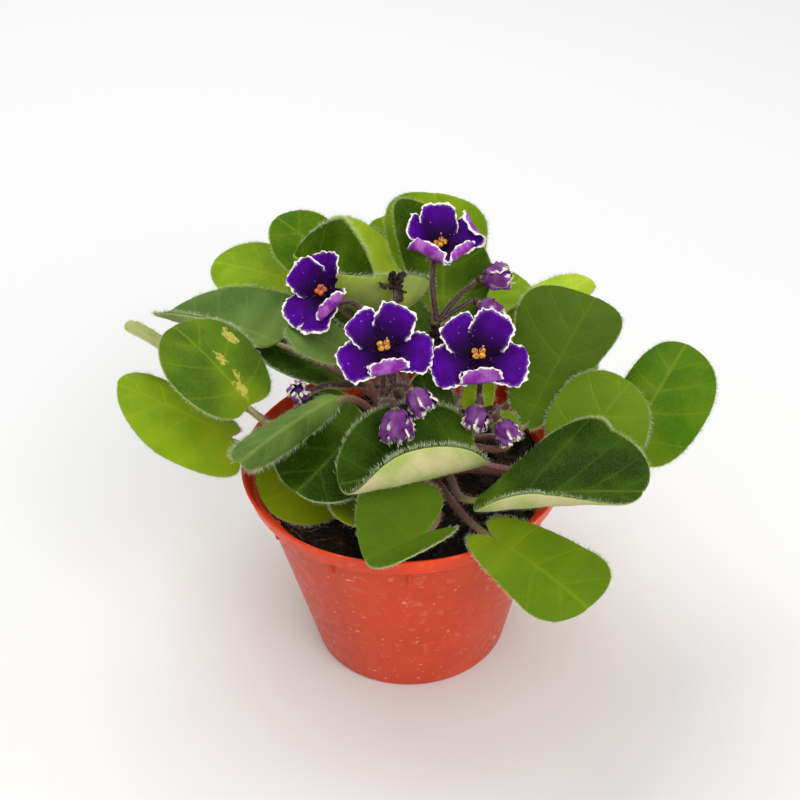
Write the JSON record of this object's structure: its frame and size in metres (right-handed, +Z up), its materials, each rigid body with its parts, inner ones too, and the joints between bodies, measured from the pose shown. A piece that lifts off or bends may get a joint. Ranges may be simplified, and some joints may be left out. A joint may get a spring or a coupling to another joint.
{
  "type": "potted african violet",
  "caption": "Rosette of rounded hairy leaves with violet blooms edged in white, in a peat-filled plastic nursery pot.",
  "frame": {"origin": "middle of the pot's foot, on the ground", "axes": "+Z up the pot's axis, +X to the plant's right-hand side seen from the front, -Y towards the front"},
  "size_m": [0.2354, 0.2148, 0.1728],
  "materials": {
    "pot_plastic": "satin",
    "peat": "matte",
    "stalk": "matte",
    "leaf_light": "satin",
    "leaf_bright": "satin",
    "leaf_lit": "satin",
    "leaf_mid": "satin",
    "leaf_grey": "matte",
    "leaf_dark": "satin",
    "leaf_olive": "satin",
    "leaf_spotted": "satin",
    "petal": "matte",
    "bud": "matte",
    "anther": "matte"
  },
  "bodies": {
    "root": {"pot": "pot_plastic", "soil": "peat", "crown": "stalk", "leaf_left_low": "leaf_light", "leaf_left_round": "leaf_spotted", "leaf_left_pale_tip": "leaf_light", "leaf_left_back_grey": "leaf_grey", "leaf_back_left_light": "leaf_light", "leaf_back_left_bright": "leaf_bright", "leaf_back_cup": "leaf_mid", "leaf_back_lit_wall": "leaf_lit", "leaf_back_sliver": "leaf_light", "leaf_top_rear": "leaf_light", "leaf_top_front": "leaf_mid", "leaf_right_back_lit": "leaf_lit", "leaf_back_behind_bud": "leaf_light", "leaf_right_tall": "leaf_dark", "leaf_right_round": "leaf_mid", "leaf_right_far": "leaf_bright", "leaf_right_front_dark": "leaf_dark", "leaf_front_right_low": "leaf_bright", "leaf_front_small": "leaf_dark", "leaf_front_cup": "leaf_dark", "leaf_front_left_dark": "leaf_dark", "leaf_front_olive": "leaf_olive", "leaf_front_left_olive": "leaf_olive", "leaf_left_ridged": "leaf_grey", "leaf_inner_left_small": "leaf_grey", "leaf_inner_left_dark": "leaf_dark", "leaf_inner_front": "leaf_dark", "leaf_inner_right_small": "leaf_bright", "leaf_inner_back_small": "leaf_mid", "leaf_inner_right_pale": "leaf_light", "leaf_low_back_left": "leaf_mid", "leaf_low_back_right": "leaf_mid", "leaf_low_right": "leaf_mid", "spray_front": "stalk", "spray_right": "stalk", "spray_top": "stalk", "spray_left": "stalk", "bloom_left_petals": "petal", "bloom_left_anthers": "anther", "bloom_middle_petals": "petal", "bloom_middle_anthers": "anther", "bloom_right_petals": "petal", "bloom_right_anthers": "anther", "bloom_top_petals": "petal", "bloom_top_anthers": "anther", "bud_front_low": "bud", "bud_front_high": "bud", "bud_right_low": "bud", "bud_right_high": "bud", "bud_back_high": "bud", "bud_back_low": "bud", "bud_left": "bud"}
  },
  "joints": []
}
